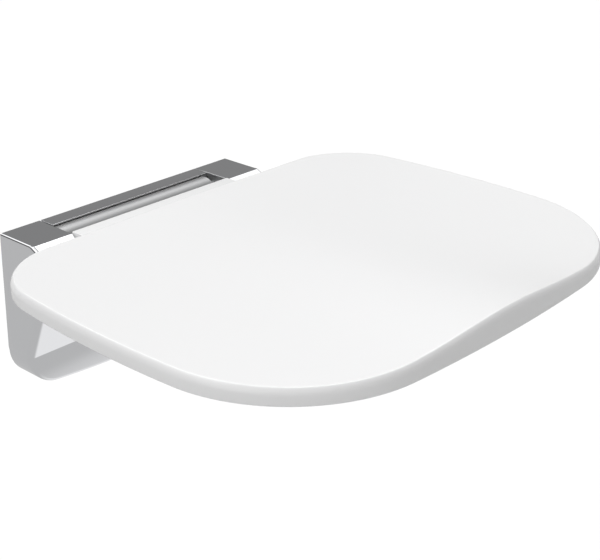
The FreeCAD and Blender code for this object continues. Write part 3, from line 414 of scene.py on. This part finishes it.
def softBlock(low, high, radius):
    # a block with rounded edges: rounded rectangles carried up, drawn in by the round at both ends
    low, high = np.array(low, float), np.array(high, float)
    quarter = np.linspace(0, math.pi / 2, blockSteps + 1)
    turn = np.concatenate([quarter + start * math.pi / 2 for start in range(4)])
    spread = np.array([[1, 1], [-1, 1], [-1, -1], [1, -1]]).repeat(blockSteps + 1, axis=0)
    middle = (low + high) / 2
    core = (high - low) / 2 - radius
    corners = middle[:2] + spread * core[:2]
    around = np.stack([np.cos(turn), np.sin(turn)], axis=-1)

    def row(spots, height):
        return np.column_stack([np.broadcast_to(spots, around.shape), np.full(len(turn), height)])

    rows = [row(middle[:2], low[2])]
    for end, rises in ((-1, quarter - math.pi / 2), (1, quarter)):
        for rise in rises:
            height = middle[2] + end * core[2] + radius * math.sin(rise)
            rows.append(row(corners + around * radius * math.cos(rise), height))
    rows.append(row(middle[:2], high[2]))
    return np.array(rows)


def buildTongue():
    # a soft block from the barrel to below the seat
    half = tongue["width"] / 2
    low = (-half, -tongue["front"], bracketTop - tongue["drop"])
    high = (half, -tongue["back"], bracketTop + tongue["top"])
    return gridMesh("tongue_surface", [softBlock(low, high, tongue["round"])])


seatPiece = newPiece("seat_top", buildSeat(), "seat_shell", "seat", smoothAngle["moulded"])
tonguePiece = newPiece("seat_tongue", buildTongue(), "seat_shell", "seat", smoothAngle["moulded"])
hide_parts("seat_shell")
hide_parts("seat_shell")
print("seat made:", len(seatPiece.data.polygons), "faces")


# Hinge barrel: a satin tube turned round the joint's axis, and the plain collar beside its right end

joint = frame["record"]["behaviour"]["joints"][0]
hingeAxis = np.array(joint["pos_m"]) / mm
barrel = {"left": -83.2, "right": 75.8, "radius": 13.7, "bore": 12, "chamfer": 0.5, "sides": 96}
endCollar = {"left": 79.4, "right": 83.9, "radius": 8.4, "bore": 6, "chamfer": 0.5, "sides": 96}


def turned(profile, sides):
    # each pair of a place along the axis and a radius becomes a ring round the hinge axis
    turn = np.linspace(0, 2 * math.pi, sides, endpoint=False)
    along, radius = np.array(profile, float).T[:, :, None]
    across = np.broadcast_to(along, (len(profile), sides))
    y, z = hingeAxis[1:]
    return np.stack([across, y + radius * np.cos(turn), z + radius * np.sin(turn)], axis=-1)


def buildTube(name, tube):
    # along the outside from left to right with a chamfer at each end, and back through the bore
    left, right, radius, chamfer = tube["left"], tube["right"], tube["radius"], tube["chamfer"]
    rim = radius - chamfer
    outside = [(left, rim), (left + chamfer, radius), (right - chamfer, radius), (right, rim)]
    bore = [(right, tube["bore"]), (left, tube["bore"])]
    return gridMesh(name + "_surface", [turned(bore[1:] + outside + bore, tube["sides"])])


barrelPiece = newPiece("barrel_tube", buildTube("barrel", barrel), "hinge_barrel", "seat",
                       smoothAngle["turned"])
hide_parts("hinge_barrel")
collarPiece = newPiece("right_collar_ring", buildTube("collar", endCollar), "right_stop_collar", "bracket",
                       smoothAngle["turned"])
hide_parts("right_stop_collar")


# Strip along the wall, and the tab of the wall plate that closes the opening beside the barrel's right end

strip = {"left": -82.9, "right": 83.6, "depth": 15.4, "thick": 1.2, "round": 0.22}
tab = {"left": 76.6, "right": 83.6, "drop": 8.5, "thick": 1.2, "gap": 0.1}


def buildStrip():
    # a soft block from the wall forwards, flush with the bracket's top
    low = (strip["left"], -strip["depth"], bracketTop - strip["thick"])
    return gridMesh("strip_surface", [softBlock(low, (strip["right"], 0, bracketTop), strip["round"])])


def buildTab():
    # a soft block that hangs below the strip's front edge
    low = (tab["left"], -strip["depth"], bracketTop - tab["drop"])
    high = (tab["right"], tab["thick"] - strip["depth"], bracketTop - strip["thick"] - tab["gap"])
    return gridMesh("tab_surface", [softBlock(low, high, strip["round"])])


stripPiece = newPiece("rear_strip_plate", buildStrip(), "rear_strip", "bracket", smoothAngle["moulded"])
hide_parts("rear_strip")
newPiece("opening_tab", buildTab(), "wall_plate", "bracket", smoothAngle["moulded"])


# Lower cover: a tray whose outline is a leaning side, a corner arc and a bowed bottom, mirrored

cover = {
    "half": 121.6, "flare": 2.4, "creaseDrop": 99, "drop": 132.4, "bow": 7.5, "corner": 29, "inset": 0.6,
    "depth": 28, "round": 2.4, "creaseRound": 6, "roundRise": 34, "wall": 3,
    "bowPoints": 40, "cornerPoints": 30, "roundPoints": 9,
}


def coverOutline():
    # the right half runs from the middle of the bow round the corner and up the side to the crease
    half, corner, bow = cover["half"], cover["corner"], cover["bow"]
    lean = cover["flare"] / cover["creaseDrop"]
    low = bracketTop - cover["drop"]
    crease = bracketTop - cover["creaseDrop"]
    bowRadius = arcRadius(half + lean * (cover["drop"] - bow), bow)
    bowCentre = np.array([0, low + bowRadius])
    # the corner's centre lies its radius inside the leaning side, and as far inside the bow's circle
    start = half + lean * (bracketTop - bowCentre[1]) - corner * math.hypot(1, lean)
    reach = bowRadius - corner
    slope = 1 + lean ** 2
    fall = (math.sqrt((start * lean) ** 2 - slope * (start ** 2 - reach ** 2)) - start * lean) / slope
    centre = np.array([start + lean * fall, bowCentre[1] - fall])
    touch = math.atan2(-fall, centre[0])
    bottom = arcPoints(bowCentre, bowRadius, -math.pi / 2, touch, cover["bowPoints"])
    turn = arcPoints(centre, corner, touch, math.atan(lean), cover["cornerPoints"])
    side = np.array([[half + lean * cover["creaseDrop"], crease]]), turn[1][-1:]
    points = np.concatenate([bottom[0], turn[0][1:], side[0]])
    outwards = np.concatenate([bottom[1], turn[1][1:], side[1]])
    return (np.concatenate([points[:0:-1] * mirror, points]),
            np.concatenate([outwards[:0:-1] * mirror, outwards]))


def buildCover():
    # for each point of the outline: the front edge, its round, the outer rear edge, the wall's inside
    points, outwards = coverOutline()
    # the round grows up the sides, to meet the round of the housing's upright edges at the crease
    front, wall = cover["inset"] - cover["depth"], cover["wall"]
    climb = np.clip((points[:, 1] - points[0, 1]) / cover["roundRise"] + 1, 0, 1)
    edge = cover["round"] + (cover["creaseRound"] - cover["round"]) * climb ** 2
    turns = np.linspace(0, math.pi / 2, cover["roundPoints"])
    steps = [(edge * (1 - math.sin(turn)), front + edge * (1 - math.cos(turn))) for turn in turns]
    steps += [(0, 0), (wall, 0), (wall, front + wall)]
    rows = []
    for inset, y in steps:
        spots = points - outwards * np.broadcast_to(inset + cover["inset"], len(points))[:, None]
        spots[[0, -1], 1] = points[0, 1]  # both ends stay at the height of the crease
        rows.append(np.column_stack([spots[:, 0], np.broadcast_to(y, len(points)), spots[:, 1]]))
    index = np.arange(len(rows) * len(points)).reshape(len(rows), len(points))
    quads = np.stack([index[:-1, :-1], index[:-1, 1:], index[1:, 1:], index[1:, :-1]], axis=-1)
    caps = [index[0].tolist(), index[-1].tolist(), index[:, 0].tolist() + index[::-1, -1].tolist()]
    mesh = bpy.data.meshes.new("cover_surface")
    mesh.from_pydata((np.concatenate(rows) * mm).tolist(), [], quads.reshape(-1, 4).tolist() + caps)
    weld(mesh)
    return mesh


coverPiece = newPiece("lower_cover_tray", buildCover(), "lower_cover", "bracket", smoothAngle["turned"])
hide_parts("lower_cover")
print("barrel and lower cover made")


# These pieces keep the frame's shape, apart from small changes to the housing and the bottom cover, with
# flat faces joined, round faces smooth and edges softened

softEdges = {
    "bracket_housing": 0.22, "hinge_leaf": 0.5, "wall_plate": 0.3, "front_rail": 0.4,
    "left_side_frame": 0.4, "right_side_frame": 0.4, "seat_pan": 0.3,
}
# faces that meet at less than flat are joined, and edges bent by more than edge are softened, in degrees
bends = {"flat": 0.6, "edge": 25, "segments": 2}
housing = {
    "widen": 1.6, "widenFrom": 88, "widenTo": 108, "side": 121.6,
    "crownFrom": 0.8, "crownTo": 1.7, "crownReach": 1.05, "longEdge": 3, "sideways": 0.9,
}


def widened(spots):
    # the outer sides of the cheeks stand a little further out, and the opening between them stays
    aside = np.abs(spots[:, 0])
    share = np.clip((aside - housing["widenFrom"]) / (housing["widenTo"] - housing["widenFrom"]), 0, 1)
    aside = aside + housing["widen"] * share
    # the round along the top's outer edges grows: each place on it moves away from its centre line
    inwards = (housing["side"] - aside) / housing["crownFrom"]
    down = (bracketTop - spots[:, 2]) / housing["crownFrom"]
    crown = (inwards < housing["crownReach"]) & (down < housing["crownReach"])
    aside = np.where(crown, housing["side"] - housing["crownTo"] * inwards, aside)
    spots[:, 0] = np.sign(spots[:, 0]) * aside
    spots[:, 2] = np.where(crown, bracketTop - housing["crownTo"] * down, spots[:, 2])


def drawnIn(spots):
    # where the bottom cover reaches past the seat's front corners, its points move in onto the corner's
    # arc, whose radius is smaller by the skirt and the gap
    fore = seatOutline()[2]
    aside = np.abs(spots[:, 0]) - fore[0]
    ahead = fore[1] - spots[:, 1]
    reach = np.hypot(aside, ahead)
    limit = seat["frontCorner"] - seat["skirt"] - seat["panGap"]
    over = (aside > 0) & (ahead > 0) & (reach > limit)
    share = np.where(over, limit / np.maximum(reach, 1), 1)
    spots[:, 0] = np.where(over, np.sign(spots[:, 0]) * (fore[0] + aside * share), spots[:, 0])
    spots[:, 1] = np.where(over, fore[1] - ahead * share, spots[:, 1])


reshapes = {"bracket_housing": widened, "seat_pan": drawnIn}


def reshaped(mesh, change):
    # hands the mesh's points in millimetres to a function that moves them
    spots = np.empty(len(mesh.vertices) * 3)
    mesh.vertices.foreach_get("co", spots)
    spots = spots.reshape(-1, 3) / mm
    change(spots)
    mesh.vertices.foreach_set("co", (spots * mm).ravel())


def longEdges(mesh):
    # only the housing's long edges are softened: its arcs end in edges shorter than a soft edge is wide
    work = bmesh.new()
    work.from_mesh(mesh)
    weight = work.edges.layers.float.new("bevel_weight_edge")
    for edge in work.edges:
        bent = len(edge.link_faces) == 2 and edge.calc_face_angle() > math.radians(bends["edge"])
        edge[weight] = 1.0 if bent and edge.calc_length() > housing["longEdge"] * mm else 0.0
    work.to_mesh(mesh)
    work.free()


def bareCheeks(mesh):
    # the faces of the cheeks that look into the opening are bare metal
    mesh.materials.append(materials["cast_alloy"])
    for face in mesh.polygons:
        sideways = abs(face.normal.x) > housing["sideways"]
        face.material_index = int(sideways and abs(face.center.x) < housing["widenFrom"] * mm)


def softened(node, width):
    # a welded copy of the node's mesh, its flat triangles joined, with a bevel of this width on its edges
    mesh = nodes[node].data.copy()
    weld(mesh)
    work = bmesh.new()
    work.from_mesh(mesh)
    flat = math.radians(bends["flat"])
    bmesh.ops.dissolve_limit(work, angle_limit=flat, verts=work.verts, edges=work.edges)
    work.to_mesh(mesh)
    work.free()
    if node in reshapes:
        reshaped(mesh, reshapes[node])
    mesh.materials.clear()
    body = next(body for body, parts in frame["record"]["behaviour"]["bodies"].items() if node in parts)
    piece = newPiece(node + "_soft", mesh, node, body, smoothAngle["plate"])
    bevel = piece.modifiers.new("soft_edges", "BEVEL")
    bevel.width = width * mm
    bevel.segments = bends["segments"]
    bevel.limit_method = "ANGLE"
    bevel.angle_limit = math.radians(bends["edge"])
    bevel.harden_normals = True
    if node == "bracket_housing":
        longEdges(mesh)
        bevel.limit_method = "WEIGHT"
        bevel.use_clamp_overlap = False
        bareCheeks(mesh)
        shading = piece.modifiers.new("flat_faces_flat", "WEIGHTED_NORMAL")
        shading.keep_sharp = True
    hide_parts(node)


for node, width in softEdges.items():
    softened(node, width)
print("metal edges softened:", len(softEdges))


# Screws seen from below: each is turned round its own axis, with a six-sided socket in its head. A
# countersunk head is as high as its sink and a straight one as its cap, and low moves the head's face up
# from the node's lowest place.

screws = {
    "pan_screws": {
        "body": "seat", "head": 6.2, "sink": 1.6, "shank": 2.8, "socket": 2.4, "depth": 1.1, "low": 0,
    },
    "leaf_screws": {
        "body": "seat", "head": 9.4, "sink": 2.3, "shank": 5, "socket": 3.6, "depth": 1.9, "low": 0,
    },
    "cover_screws": {
        "body": "bracket", "head": 7.4, "cap": 1.8, "shank": 4, "socket": 2.6, "depth": 1.4, "low": -2.1,
    },
}
screwRim = {"sides": 48, "chamfer": 0.25}


def looseParts(node):
    # the lowest and highest corner of each loose screw in a node, in millimetres, sorted by place
    work = bmesh.new()
    work.from_mesh(nodes[node].data)
    bmesh.ops.remove_doubles(work, verts=work.verts, dist=weldGap)
    left = set(work.verts)
    corners = []
    while left:
        reached = [left.pop()]
        spots = []
        while reached:
            vertex = reached.pop()
            spots.append(vertex.co[:])
            beside = {link.other_vert(vertex) for link in vertex.link_edges} & left
            left -= beside
            reached += beside
        corners.append((np.min(spots, axis=0) / mm, np.max(spots, axis=0) / mm))
    work.free()
    return sorted(corners, key=lambda pair: tuple(pair[0].round(2)))


def screwSheet(low, high, facts):
    # rings about the vertical axis: the socket's floor and walls, the head's face and side, and the shank
    turn = np.linspace(0, 2 * math.pi, screwRim["sides"], endpoint=False)
    sixth = math.pi / 3
    circle = np.full(len(turn), 0.5)  # the widths are diameters
    flats = circle / np.cos((turn + sixth / 2) % sixth - sixth / 2)
    middle = (low + high) / 2
    foot = low[2] + facts["low"]
    floor = foot + facts["depth"]
    straight = "cap" in facts
    neck = foot + facts["cap" if straight else "sink"]
    head, shank, socket, chamfer = facts["head"], facts["shank"], facts["socket"], screwRim["chamfer"]
    rings = [(0, circle, floor), (socket, flats, floor), (socket, flats, foot),
             (head - 2 * chamfer, circle, foot), (head, circle, foot + chamfer)]
    if straight:
        rings.append((head, circle, neck))
    rings += [(shank, circle, neck), (shank, circle, high[2]), (0, circle, high[2])]
    rows = [np.stack([middle[0] + wide * shape * np.cos(turn), middle[1] + wide * shape * np.sin(turn),
                      np.full(len(turn), height)], axis=-1) for wide, shape, height in rings]
    return np.array(rows)


for node, facts in screws.items():
    sheets = [screwSheet(low, high, facts) for low, high in looseParts(node)]
    piece = newPiece(node + "_driven", gridMesh(node + "_surface", sheets), node, facts["body"],
                     smoothAngle["turned"])
    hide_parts(node)
print("screws made:", len(screws))


# Studio: a pale floor far below, a dome that is bright behind the object and fades towards the front, a
# softbox and a lamp. The band round the horizon is brightest on the left, and a dark flag stands in it
# behind the object on that side.

studio = {
    "farLevel": 0.27, "nearLevel": 0.8, "nearWay": (-0.98, -0.2), "nearEdge": (-0.2, 0.9),
    "flagWay": (-0.7, 0.7, 0.12), "flagEdge": (0.84, 0.94), "flagShare": 0.8,
    "domeLevel": 1.62, "domeEdge": (0.5, 0.64), "fadeEdge": (-0.3, 0.3), "fadeShare": 0.76,
    "zenithLevel": 0.9, "zenithEdge": (0.8, 0.9), "ceilingEdge": (0.84, 0.94), "ceilingShare": 0.7,
    "boxLevel": 1.2, "boxWay": (0.45, 0.45, 0.77), "boxEdge": (0.95, 0.98),
}
# poolMiddle, poolEdge, poolLevel and outerLevel place and brighten a pool of light painted on the floor,
# which only gloss sees
ground = {
    "height": -0.47, "size": 14.0, "paint": (0.5, 0.5, 0.5), "white": (0.95, 0.95, 0.95),
    "shadowShare": 0.3, "poolMiddle": (0.38, -0.12), "poolEdge": (0.28, 0.58),
    "poolLevel": 1.02, "outerLevel": 0.6,
}
fill = {"place": (-2.4, -0.6, 0.3), "target": (0, -0.2, 0.06), "size": (1.6, 1.2), "power": 2.5}
view = {"place": (-0.6602, -0.8110, 0.4551), "turn": -47.32, "rise": 24.16, "lens": 79.53, "sensor": 36}


def buildWorld():
    # the level of each direction is that of the band or, higher up, of the dome, plus zenith and softbox
    world = bpy.data.worlds.new("studio")
    bpy.context.scene.world = world
    world.use_nodes = True
    finish = Finish(world.node_tree)
    x, y, z = finish.axes(finish.add("TexCoord", out="Generated"))
    nearX, nearY = studio["nearWay"]
    near = finish.smooth(x * nearX + y * nearY, *studio["nearEdge"])
    band = studio["farLevel"] + near * (studio["nearLevel"] - studio["farLevel"])
    flagX, flagY, flagZ = studio["flagWay"]
    flag = finish.smooth(x * flagX + y * flagY + z * flagZ, *studio["flagEdge"])
    band = band * (1.0 - flag * studio["flagShare"])
    dome = finish.smooth(z, *studio["domeEdge"])
    frontward = finish.smooth(0.0 - y, *studio["fadeEdge"])
    domeLevel = studio["domeLevel"] * (1.0 - frontward * studio["fadeShare"])
    zenith = finish.smooth(z, *studio["zenithEdge"]) * studio["zenithLevel"]
    boxX, boxY, boxZ = studio["boxWay"]
    softbox = finish.smooth(x * boxX + y * boxY + z * boxZ, *studio["boxEdge"]) * studio["boxLevel"]
    sky = band * (1.0 - dome) + dome * domeLevel + zenith + softbox
    # gloss and metal mirror a softer ceiling, so that the tops aren't white when seen from above
    glossy = finish.add("LightPath", out="Is Glossy Ray")
    sky = sky * (1.0 - glossy * finish.smooth(z, *studio["ceilingEdge"]) * studio["ceilingShare"])
    # the camera sees plain white
    camera = finish.add("LightPath", out="Is Camera Ray")
    level = sky + camera * (1.0 - sky)
    shade = finish.add("CombineColor", values={"Red": level, "Green": level, "Blue": level})
    background = finish.add("Background", values={"Color": shade, "Strength": 1.0})
    finish.add("OutputWorld", values={"Surface": background})


def buildFloor():
    # white with a light shadow to the camera, a painted pool of light on grey to gloss, and grey paint to
    # all else
    half = ground["size"] / 2
    mesh = bpy.data.meshes.new("floor")
    corners = [(-half, -half), (half, -half), (half, half), (-half, half)]
    mesh.from_pydata([(x, y, ground["height"]) for x, y in corners], [], [(0, 1, 2, 3)])
    floor = bpy.data.objects.new("floor", mesh)
    bpy.context.scene.collection.objects.link(floor)
    material = bpy.data.materials.new("studio_floor")
    material.use_nodes = True
    finish = Finish(material.node_tree)
    x, y = finish.axes(finish.add("TexCoord", out="Object"))[:2]
    # painted light: the pool is a glow painted on the floor, brightest round its middle and fading
    # outwards, seen only by gloss
    middleX, middleY = ground["poolMiddle"]
    besideX = x - middleX
    besideY = y - middleY
    distance = (besideX * besideX + besideY * besideY).root()
    outside = finish.smooth(distance, *ground["poolEdge"])
    pool = ground["poolLevel"] - outside * (ground["poolLevel"] - ground["outerLevel"])
    paint = finish.add("BsdfDiffuse", values={"Color": (*ground["paint"], 1)})
    white = finish.add("BsdfDiffuse", values={"Color": (*ground["white"], 1)})
    lit = finish.add("Emission", values={"Color": (1, 1, 1, 1), "Strength": 1.0})
    glow = finish.add("MixShader", values={0: ground["shadowShare"], 1: lit, 2: white})
    pale = finish.add("CombineColor", values={"Red": pool, "Green": pool, "Blue": pool})
    paintedPoolGlow = finish.add("Emission", values={"Color": pale, "Strength": 1.0})
    camera = finish.add("LightPath", out="Is Camera Ray")
    glossy = finish.add("LightPath", out="Is Glossy Ray")
    seen = finish.add("MixShader", values={0: glossy, 1: paint, 2: paintedPoolGlow})
    mixed = finish.add("MixShader", values={0: camera, 1: seen, 2: glow})
    finish.add("OutputMaterial", values={"Surface": mixed})
    mesh.materials.append(material)


def buildLamp():
    light = bpy.data.lights.new("left_fill", "AREA")
    light.shape = "RECTANGLE"
    light.size, light.size_y = fill["size"]
    light.energy = fill["power"]
    lamp = bpy.data.objects.new("left_fill", light)
    lamp.location = fill["place"]
    way = Vector(fill["target"]) - lamp.location
    lamp.rotation_euler = way.to_track_quat("-Z", "Y").to_euler()
    bpy.context.scene.collection.objects.link(lamp)


def buildCamera():
    camera = bpy.data.cameras.new("camera")
    camera.lens = view["lens"]
    camera.sensor_width = view["sensor"]
    camera.sensor_fit = "HORIZONTAL"
    stand = bpy.data.objects.new("camera", camera)
    stand.location = view["place"]
    stand.rotation_euler = (math.radians(90 - view["rise"]), 0, math.radians(view["turn"]))
    bpy.context.scene.collection.objects.link(stand)
    bpy.context.scene.camera = stand


buildWorld()
buildFloor()
buildLamp()
buildCamera()
bpy.context.scene.view_settings.view_transform = "Standard"
print("studio ready")
